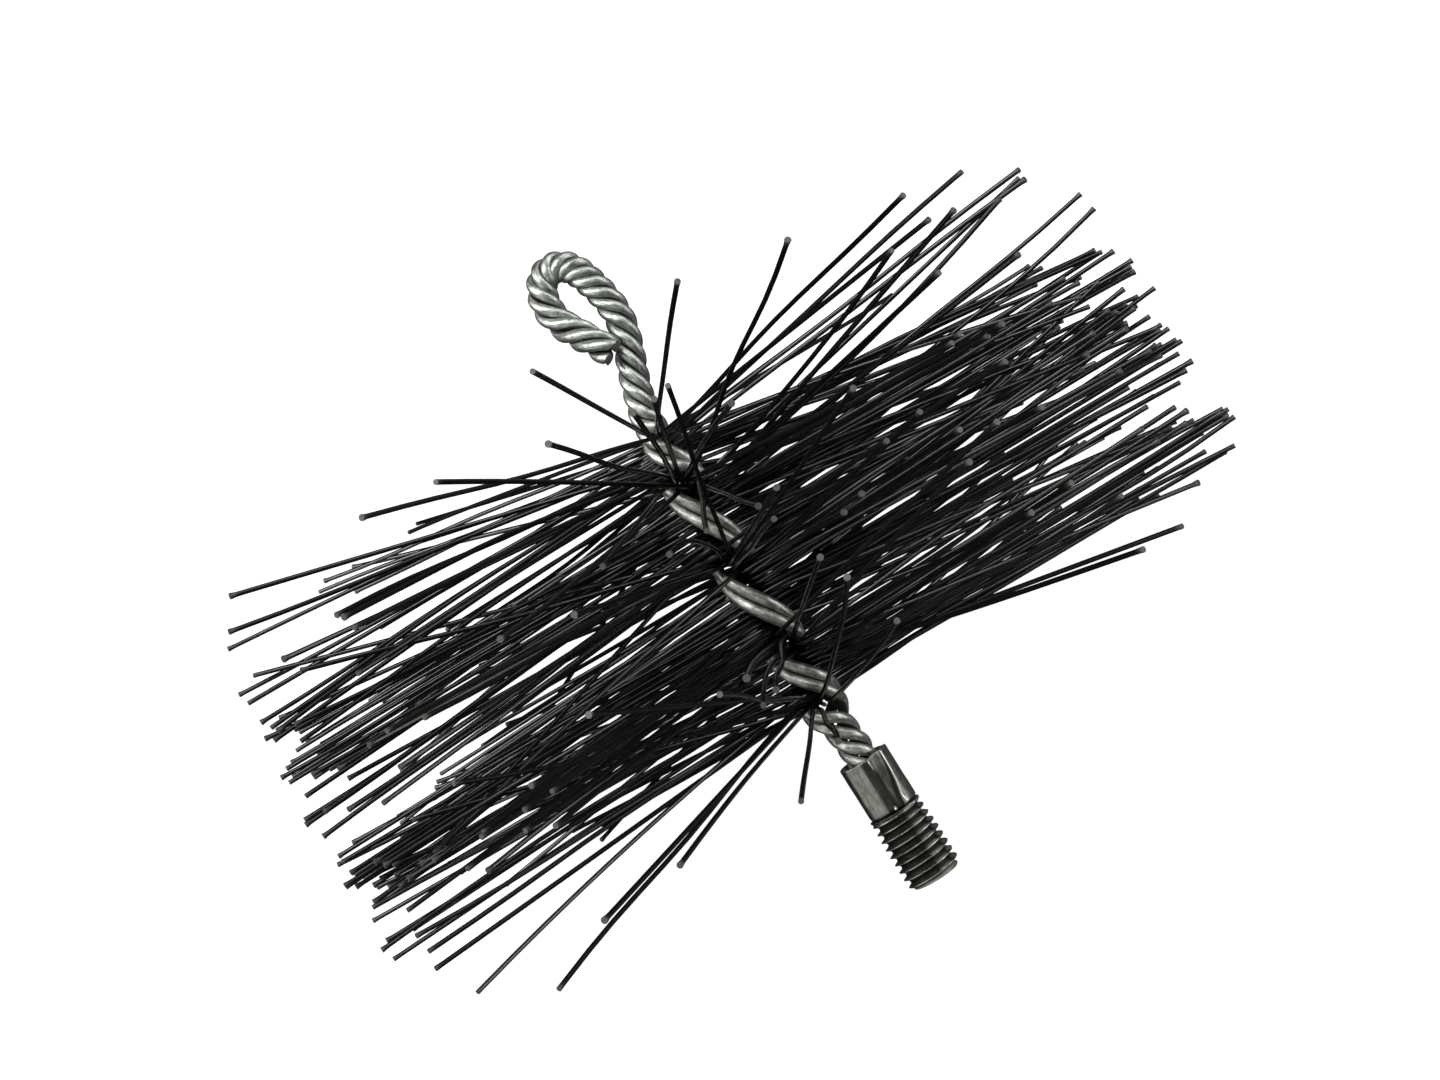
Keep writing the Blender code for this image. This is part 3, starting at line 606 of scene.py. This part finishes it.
def lay_between(clamps):
    """[(middle, along, {sense: (start, tip)})] of the bristles between the tufts."""
    own = random.Random(31)
    starts = [s for c in clamps for _, _, s, _ in c[4]]
    ends = [e for c in clamps for _, _, _, e in c[4]]
    spots = []
    for (x0, _, _, w0, _), (x1, _, _, w1, _) in zip(clamps, clamps[1:]):
        x = (x0 + x1) / 2
        if len(w0) == len(w1):
            offsets = (-0.71, 0.71) if len(w0) == 3 else (0.0,)
        else:
            offsets = (own.choice((-0.36, 0.36)),)
        psi = TWIST(x)
        across = np.array((0, math.cos(psi), math.sin(psi)))
        along = np.array((0, -math.sin(psi), math.cos(psi)))
        spots.extend((np.array((x, 0, 0)) + w * across, across, along, w) for w in offsets)
    order = list(range(len(spots)))
    own.shuffle(order)
    given = {-1: np.zeros(100), 1: np.zeros(100)}
    laid = []
    for i in order:
        middle, across, along, w = spots[i]
        got = {}
        for sense in (1, -1):
            start = middle + sense * CLAMP_HALF * along
            best = None
            for attempt in range(60):
                way = sense * along + np.array((0, own.gauss(0, 0.22), own.gauss(0, 0.22)))
                side = 1 if way[1] >= 0 else -1
                length = 94 + own.gauss(0, 1.5) - CLAMP_HALF
                reach = min(own.gauss(84, 4.5), 88.5) if own.random() < 0.8 else own.uniform(50, 84)
                lift = math.degrees(math.acos(min(reach / (length + CLAMP_HALF), 0.985)))
                lift = math.copysign(lift, way[2] if own.random() < 0.75 else 1)
                tip_x = middle[0] * 1.02 + 1.0 + own.gauss(0, 9)
                if not -121 < tip_x < -39 - 0.1 * max(length * math.sin(math.radians(lift)), 0):
                    continue
                flat = math.cos(math.radians(lift))
                way = np.array(((tip_x - middle[0]) / length, side * flat, math.sin(math.radians(lift))))
                way[1:] *= math.sqrt(1 - way[0] ** 2)
                tip = start + way * length
                if tip[2] < FLOOR_Z:
                    rise = (FLOOR_Z - start[2]) / length
                    level = np.array((way[0], way[1], 0.0))
                    level *= math.sqrt(1 - rise * rise) / np.linalg.norm(level)
                    tip = start + length * (level + np.array((0, 0, rise)))
                turn = (tip - start).dot(sense * along) / length
                if turn < 0.28:
                    continue
                room = closest(start, tip, np.array(starts), np.array(ends)).min()
                half_x = start[0] + 0.72 * (tip[0] - start[0])
                cell = int((half_x + 130) / CELL)
                want = (WANT_LEFT if side < 0 else WANT_RIGHT)(half_x) - SHADE * given[side][cell]
                if want < SHADE / 2:
                    continue
                score = 2.2 * min(room, 1.0) + 0.9 * want
                if best is None or score > best[0]:
                    best = (score, start, tip, side, cell)
            if best is not None:
                got[sense] = (best[1], best[2])
                starts.append(best[1])
                ends.append(best[2])
                given[best[3]][best[4]] += 1
        if got:
            laid.append((middle, along, got))
    return laid


def make_bristles(material):
    clamps = []
    for k in range(TUFTS):
        name = f"bristle_tuft_{k + 1:02d}"
        x, across, along, offsets, found = prongs_of(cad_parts[name], k)
        clamps.append((x, across, along, offsets, found))
        build = Build(STEM_AT)
        for w in offsets:
            middle = np.array((x, 0, 0)) + w * across
            fibre(build, middle, along, {p[1]: (p[2], p[3]) for p in found if p[0] == w})
        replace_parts(finish_bristles(build, f"bristles_{k + 1:02d}", material), name)
    # those between the tufts, a few to a piece
    between = sorted(lay_between(clamps), key=lambda b: b[0][0])
    for first in range(0, len(between), 7):
        build = Build(STEM_AT)
        for middle, along, got in between[first : first + 7]:
            fibre(build, middle, along, got)
        finish_bristles(build, f"bristles_between_{first // 7 + 1:02d}", material)
    ends = sum(len(c[4]) for c in clamps)
    print("bristle ends", ends, "and between the tufts", sum(len(b[2]) for b in between))


# ---- Ferrule --------------------------------------------------------------------------------
PITCH, DEPTH, CREST_R = 1.75, 1.05, 6.0
THREAD_END, SLEEVE_END = -15.9, -28.15
SLEEVE_R = 5.45


def turn_from(angle, degrees):
    """Angle from the given one, between -180 and 180 degrees."""
    return (math.degrees(angle) - degrees + 180) % 360 - 180


def band(value, low, high, soft):
    """1 between low and high, fading to 0 over the soft distance outside."""
    return smooth_step(low - soft, low, value) * (1 - smooth_step(high, high + soft, value))


def thread_point(x, angle, mark):
    """Radius, wear with painted highlights, painted recess shade and painted light and shade at a
    point of the thread. mark is the share of the pitch from the crest."""
    m = min(mark, 1 - mark) * 2  # 0 at the crest, 1 at the root
    if m < 0.07:
        cut = 0.02 * m / 0.07
    elif m < 0.62:
        t = (m - 0.07) / 0.55
        cut = 0.02 + 0.88 * t * (1.28 - 0.28 * t)
    else:
        t = (m - 0.62) / 0.38
        cut = 0.90 + 0.10 * (1 - (1 - t) ** 2)
    crest = 5.70 + 0.32 * smooth_step(THREAD_END, -8.0, x)  # the first turns didn't fill the die
    dent = 0.5 + 0.5 * math.sin(5 * angle + 1.9 * x) * math.sin(3.3 * angle - 1.1 * x)
    crest -= (0.07 * dent + 0.20 * max(0.0, math.sin(2.4 * angle + 5.1 * x) - 0.88) / 0.12) * (1 - m)
    # the crest beside the sleeve was rolled flat on top
    crest -= 0.30 * band(turn_from(angle, 74), -24, 24, 8) * band(x, -15.4, -14.2, 0.3) * (1 - m)
    depth = DEPTH * smooth_step(THREAD_END - 0.1, THREAD_END + 1.5, x)
    radius = crest - depth * cut
    radius = min(radius, CREST_R - 1.0 - x * 0.95)  # end chamfer
    worn = max(0.0, 1 - m / 0.15) * (0.74 + 0.18 * math.sin(3 * angle + x) * math.sin(7.7 * angle - 2 * x))
    # painted highlights: a bright band round the thread near 57 degrees and a pale line near 13 degrees raise the
    # wear and tone values and lessen the recess shade; a dark band near 95 degrees is painted shade
    lit = band(turn_from(angle, 57), -12, 12, 9)
    worn = max(worn, 0.85 * lit * smooth_step(0.56, 0.16, m), 0.55 * band(turn_from(angle, 13), -9, 9, 8) * smooth_step(0.8, 0.3, m))
    if -x < 1.0:
        worn = max(worn, 0.30)
    deep = smooth_step(0.14, 0.66, m) * smooth_step(THREAD_END - 0.2, THREAD_END + 1.2, x)
    tone = 0.42 + 0.40 * lit - 0.12 * band(turn_from(angle, 95), -16, 14, 8) + 0.2 * band(turn_from(angle, 13), -9, 9, 8)
    return max(radius, 2.0), worn, deep * (0.98 - 0.25 * band(turn_from(angle, 13), -10, 9, 8)), tone


def ridge_at(x):
    """Angle in degrees of the sharp edge that the crimping jaw left, along the sleeve."""
    t = smooth_step(SLEEVE_END, THREAD_END, x)
    return 48 + 15 * t ** 1.6


def sleeve_point(x, angle):
    """Radius, wear with a painted highlight, painted recess shade and painted light and shade at a point of the
    crimped sleeve.
    """
    radius = SLEEVE_R
    worn = deep = 0.0
    full = smooth_step(SLEEVE_END, SLEEVE_END + 2.0, x) * 0.25 + 0.75
    ridge = ridge_at(x)
    # six jaws pressed it: each leaves a plane with soft corners
    turn = turn_from(angle, 0)
    for centre, half in ((69, 18), (124, 21), (176, 17), (228, 21), (286, 22), (338, 19)):
        off = math.radians(turn_from(angle, centre))
        if abs(off) < 0.9:
            plane = SLEEVE_R * (1 - (1 - math.cos(math.radians(half))) * full) / math.cos(off)
            d = (radius - plane) / 0.05
            radius = plane if d > 30 else radius - 0.05 * math.log1p(math.exp(d)) if d > -30 else radius
    # beside the sharp edge the metal steps down to the top plane
    radius -= 0.14 * full * smooth_step(ridge, ridge + 3.0, turn) * (1 - smooth_step(66, 106, turn))
    # the raised lip beside the edge, flaring at the thread, with a painted highlight along it, partly rubbed
    # bright
    lip = ridge - 3.2
    wide = 2.4 + 4.6 * smooth_step(-18.6, THREAD_END, x) + 1.2 * smooth_step(-24.5, SLEEVE_END, x)
    lip -= (wide - 2.4) * 0.8
    near = max(0.0, 1 - ((turn - lip) / wide) ** 2) if abs(turn - lip) < wide else 0.0
    radius += 0.05 * near
    worn = max(worn, near ** 0.7 * (0.95 if x < -23 or x > -19 else 0.62))
    # a short bright notch from the rim
    notch = abs(turn - 82 - 0.5 * math.sin(2 * x))
    dip = max(0.0, 1 - notch / 2.6) * smooth_step(-25.0, -27.2, x)
    radius -= 0.20 * dip
    worn = max(worn, 0.85 * dip)
    # a chip where the sleeve meets the thread
    nick = abs(turn - 86) / 5.0 + abs(x - THREAD_END + 0.75) / 0.8
    if nick < 1:
        radius -= 0.26 * (1 - nick)
        worn = max(worn, min(1.0, 1.6 * (1 - nick)))
    # painted light and shade by angle round the sleeve: a dark band along the top, a dark line beside the ridge, a
    # darker top plane, a darker left edge and a darker ring next to the thread
    tone = 0.52
    tone += 0.02 * band(turn, 103, 142, 8) - 0.16 * smooth_step(150, 172, turn)
    tone -= 0.36 * band(turn, 83 - 3 * smooth_step(-23, THREAD_END, x), 98, 8)
    tone -= 0.40 * band(turn, ridge + 1.5, ridge + 3.5 + 6 * smooth_step(-25.5, -17, x), 3.0) * smooth_step(-27.6, -23, x)
    tone -= 0.30 * band(turn, ridge + 5, 82, 5) * smooth_step(-27.0, -24.0, x)
    tone += 0.02 * smooth_step(lip - wide, lip - wide - 6, turn) * smooth_step(-30, 0, turn)
    tone -= 0.30 * smooth_step(THREAD_END - 1.4, THREAD_END - 0.4, x) * band(turn, 76, 150, 10)
    radius += 0.022 * math.sin(3 * angle + 0.6 * x) + 0.012 * math.sin(11 * angle - 1.1 * x)
    return radius, worn, deep, tone


def make_ferrule(material):
    """Rows of points from the end face to the bottom of the bore. The thread's rows
    follow the helix, so their last point lies on the first of the row a turn further
    on, and the points that meet are merged at the end."""
    sides = 264
    points, lie, worn, deep, tone, faces, rows = [], [], [], [], [], [], []

    def put(x, radius, angle, w, d, t):
        points.append((x, radius * math.cos(angle), radius * math.sin(angle)))
        lie.append((math.cos(angle), math.sin(angle), x))
        worn.append(w)
        deep.append(d)
        tone.append(t)
        return len(points) - 1

    def ring(values):
        rows.append([put(*values(TAU * (i % sides) / sides)) for i in range(sides + 1)])

    # end face: a shallow centre drill mark in a turned face
    for radius, x, d in ((0.001, -0.35, 0.8), (0.55, -0.30, 0.7), (1.0, 0.0, 0.1), (2.6, 0.0, 0.1), (4.2, 0.0, 0.1), (4.9, 0.0, 0.1)):
        ring(lambda angle: (x, radius, angle, 0.10, d, 0.62))
    # thread
    marks = (0.0, 0.035, 0.10, 0.17, 0.24, 0.31, 0.38, 0.44, 0.5, 0.56, 0.62, 0.69, 0.76, 0.83, 0.90, 0.965)
    for turn in range(-1, int(-THREAD_END / PITCH) + 3):
        for mark in marks:
            row = []
            for i in range(sides + 1):
                angle = TAU * (i % sides) / sides
                x = -(turn + mark) * PITCH + PITCH * i / sides
                inside = THREAD_END + 0.02 < x < -0.02
                x = min(max(x, THREAD_END + 0.02), -0.02)
                phase = mark if inside else (-x / PITCH + i / sides) % 1.0
                row.append(put(x, *[(v[0], angle, *v[1:]) for v in [thread_point(x, angle, phase)]][0]))
            rows.append(row)
    # sleeve, outside
    for x in [THREAD_END - 0.03, *np.arange(THREAD_END - 0.12, THREAD_END - 1.2, -0.09), *np.arange(THREAD_END - 1.25, SLEEVE_END + 0.35, -0.17)]:
        def on_sleeve(angle):
            radius, w, d, t = sleeve_point(x, angle)
            start = smooth_step(THREAD_END - 0.02, THREAD_END - 0.75, x)
            return x, radius * start + 4.85 * (1 - start), angle, w * start, max(d, 0.95 * (1 - start)), t
        ring(on_sleeve)
    # rim and bore
    rim = (
        (0.24, -0.02, 0.10, 0.1), (0.12, -0.07, 0.35, 0.1), (0.03, -0.17, 0.85, 0.0), (0.0, -0.32, 0.75, 0.0), (0.0, -0.62, 0.45, 0.0),
        (0.03, -0.95, 0.30, 0.1), (0.14, -1.25, 0.0, 0.5), (0.5, -1.48, 0.0, 0.9), (1.6, -1.55, 0.0, 0.97), (9.0, -1.55, 0.0, 0.97),
    )
    for dx, dr, w, d in rim:
        def on_rim(angle):
            radius = sleeve_point(SLEEVE_END + 0.35, angle)[0]
            wavy = 0.16 * math.sin(2 * angle + 0.7) + 0.10 * math.sin(5 * angle)
            wavy -= 0.30 * math.exp(-((turn_from(angle, 82) / 8) ** 2))
            wavy += 0.22 * math.exp(-((turn_from(angle, 58) / 12) ** 2))
            return SLEEVE_END + dx - (wavy * 0.8 if dx < 1 else 0), radius + dr, angle, w, d, 0.55
        ring(on_rim)
    x = SLEEVE_END + 9.0
    ring(lambda angle: (x, 0.001, angle, 0.0, 1.0, 0.1))
    for upper, lower in zip(rows, rows[1:]):
        for i in range(sides):
            faces.append((upper[i], lower[i], lower[i + 1], upper[i + 1]))
    build = Build()
    build.add(points, faces, lie=np.array(lie), worn=worn, deep=deep, tone=tone)
    piece = build.make("ferrule_and_stud", material, 38)
    bm = bmesh.new()
    bm.from_mesh(piece.data)
    bmesh.ops.remove_doubles(bm, verts=bm.verts, dist=3e-6)
    bmesh.ops.dissolve_degenerate(bm, dist=1e-7, edges=bm.edges)
    loose = [v for v in bm.verts if not v.link_faces]
    bmesh.ops.delete(bm, geom=loose, context="VERTS")
    bmesh.ops.recalc_face_normals(bm, faces=bm.faces)
    bm.to_mesh(piece.data)
    open_edges = sum(1 for e in bm.edges if not e.is_manifold)
    bm.free()
    print("ferrule", len(piece.data.vertices), "points", open_edges, "open edges")
    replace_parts(piece, "threaded_ferrule")
    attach(piece, "root")


# ---- Scene ------------------------------------------------------------------------------------
def make_floor():
    mesh = bpy.data.meshes.new("studio_floor")
    s = 6.0
    mesh.from_pydata([(-s, -s, FLOOR_Z * MM), (s, -s, FLOOR_Z * MM), (s, s, FLOOR_Z * MM), (-s, s, FLOOR_Z * MM)], [], [(0, 1, 2, 3)])
    obj = bpy.data.objects.new("studio_floor", mesh)
    bpy.context.scene.collection.objects.link(obj)
    obj.visible_glossy = False
    m = Nodes("pale_floor")
    m.shader.inputs["Base Color"].default_value = (0.24, 0.24, 0.24, 1)
    m.shader.inputs["Roughness"].default_value = 0.9
    m.shader.inputs["Specular IOR Level"].default_value = 0.0
    m.shader.inputs["Emission Color"].default_value = (1, 1, 1, 1)
    m.shader.inputs["Emission Strength"].default_value = 0.88
    mesh.materials.append(m.material)


def area(name, place, target, size, power, colour=(1, 1, 1)):
    light = bpy.data.lights.new(name, "AREA")
    light.shape = "RECTANGLE"
    light.size, light.size_y = size
    light.energy = power
    light.color = colour
    obj = bpy.data.objects.new(name, light)
    obj.location = place
    obj.rotation_mode = "QUATERNION"
    obj.rotation_quaternion = (Vector(target) - Vector(place)).to_track_quat("-Z", "Y")
    bpy.context.scene.collection.objects.link(obj)


def make_studio():
    scene = bpy.context.scene
    scene.view_settings.view_transform = "Standard"
    world = bpy.data.worlds.new("studio")
    scene.world = world
    world.use_nodes = True
    tree = world.node_tree
    back = tree.nodes["Background"]
    # a dim room: darker below, a little lighter half way up
    where = tree.nodes.new("ShaderNodeTexCoord")
    split = tree.nodes.new("ShaderNodeSeparateXYZ")
    tree.links.new(where.outputs["Generated"], split.inputs[0])

    def ramp(axis, stops):
        shift = tree.nodes.new("ShaderNodeMath")
        shift.operation = "MULTIPLY_ADD"
        shift.inputs[1].default_value = shift.inputs[2].default_value = 0.5
        tree.links.new(split.outputs[axis], shift.inputs[0])
        node = tree.nodes.new("ShaderNodeValToRGB")
        while len(node.color_ramp.elements) < len(stops):
            node.color_ramp.elements.new(0.5)
        for element, (at, value) in zip(node.color_ramp.elements, stops):
            element.position = at
            element.color = (value, value, value, 1)
        tree.links.new(shift.outputs[0], node.inputs["Fac"])
        return node.outputs["Color"]

    room = ramp("Z", ((0.0, 0.02), (0.50, 0.03), (0.53, 0.05), (0.78, 0.11), (1.0, 0.045)))
    # below the horizon it is paler on the side of the key light
    low = ramp("Y", ((0.35, 0.02), (0.65, 0.05), (1.0, 0.18)))
    below = ramp("Z", ((0.40, 1.0), (0.52, 0.0)))
    scene_light = tree.nodes.new("ShaderNodeMix")
    scene_light.data_type = "RGBA"
    tree.links.new(below, scene_light.inputs[0])
    tree.links.new(room, scene_light.inputs[6])
    tree.links.new(low, scene_light.inputs[7])
    # strip lights that arch over the brush: a strong one on the eye's side of it and
    # a weak one on the stud's, both fading toward +y
    above = tree.nodes.new("ShaderNodeMath")
    above.operation = "MULTIPLY"
    tree.links.new(ramp("Z", ((0.50, 0.0), (0.56, 1.0))), above.inputs[0])
    tree.links.new(ramp("Y", ((0.42, 1.0), (0.62, 0.30))), above.inputs[1])
    for stops, level in (
        (((0.13, 0.0), (0.17, 1.0), (0.26, 1.0), (0.31, 0.0)), 11.5),
        (((0.64, 0.0), (0.68, 1.0), (0.75, 1.0), (0.79, 0.0)), 1.4),
    ):
        amount = tree.nodes.new("ShaderNodeMath")
        amount.operation = "MULTIPLY"
        tree.links.new(ramp("X", stops), amount.inputs[0])
        tree.links.new(above.outputs[0], amount.inputs[1])
        lit = tree.nodes.new("ShaderNodeMix")
        lit.data_type = "RGBA"
        tree.links.new(amount.outputs[0], lit.inputs[0])
        tree.links.new(scene_light.outputs[2], lit.inputs[6])
        lit.inputs[7].default_value = (level, level, level, 1)
        scene_light = lit
    # what the camera itself sees beyond the floor is as pale as the floor
    path = tree.nodes.new("ShaderNodeLightPath")
    seen = tree.nodes.new("ShaderNodeMix")
    seen.data_type = "RGBA"
    tree.links.new(path.outputs["Is Camera Ray"], seen.inputs[0])
    tree.links.new(scene_light.outputs[2], seen.inputs[6])
    seen.inputs[7].default_value = (1.0, 1.0, 1.0, 1)
    tree.links.new(seen.outputs[2], back.inputs["Color"])
    back.inputs["Strength"].default_value = 1.0
    # in the picture, right is (0.53, 0.85) in x and y, and up is (-0.85, 0.53)
    target = (-0.08, 0, 0)
    area("key_softbox", (-0.10, 1.10, 0.45), target, (1.3, 0.4), 8.0)
    area("fill_softbox", (-0.10, -1.10, 0.48), target, (1.5, 0.7), 4.4)
    area("long_softbox", (-0.85, 0.0, 1.10), target, (1.5, 0.6), 3.5)


def make_camera():
    data = bpy.data.cameras.new("camera")
    data.lens = 55
    data.sensor_width = 36
    data.sensor_fit = "HORIZONTAL"
    data.clip_start, data.clip_end = 0.01, 50
    obj = bpy.data.objects.new("camera", data)
    right, up = Vector((0.53, 0.848, 0)).normalized(), Vector((-0.848, 0.53, 0)).normalized()
    back = Vector((0, 0, 1))
    obj.matrix_world = Matrix((
        (right.x, up.x, back.x, -0.08065),
        (right.y, up.y, back.y, -0.00102),
        (right.z, up.z, back.z, 0.444),
        (0, 0, 0, 1),
    ))
    bpy.context.scene.collection.objects.link(obj)
    bpy.context.scene.camera = obj


make_camera()
make_studio()
make_floor()
make_wires(zinc_material())
make_ferrule(steel_material())
make_bristles(bristle_material())

bpy.context.view_layer.update()
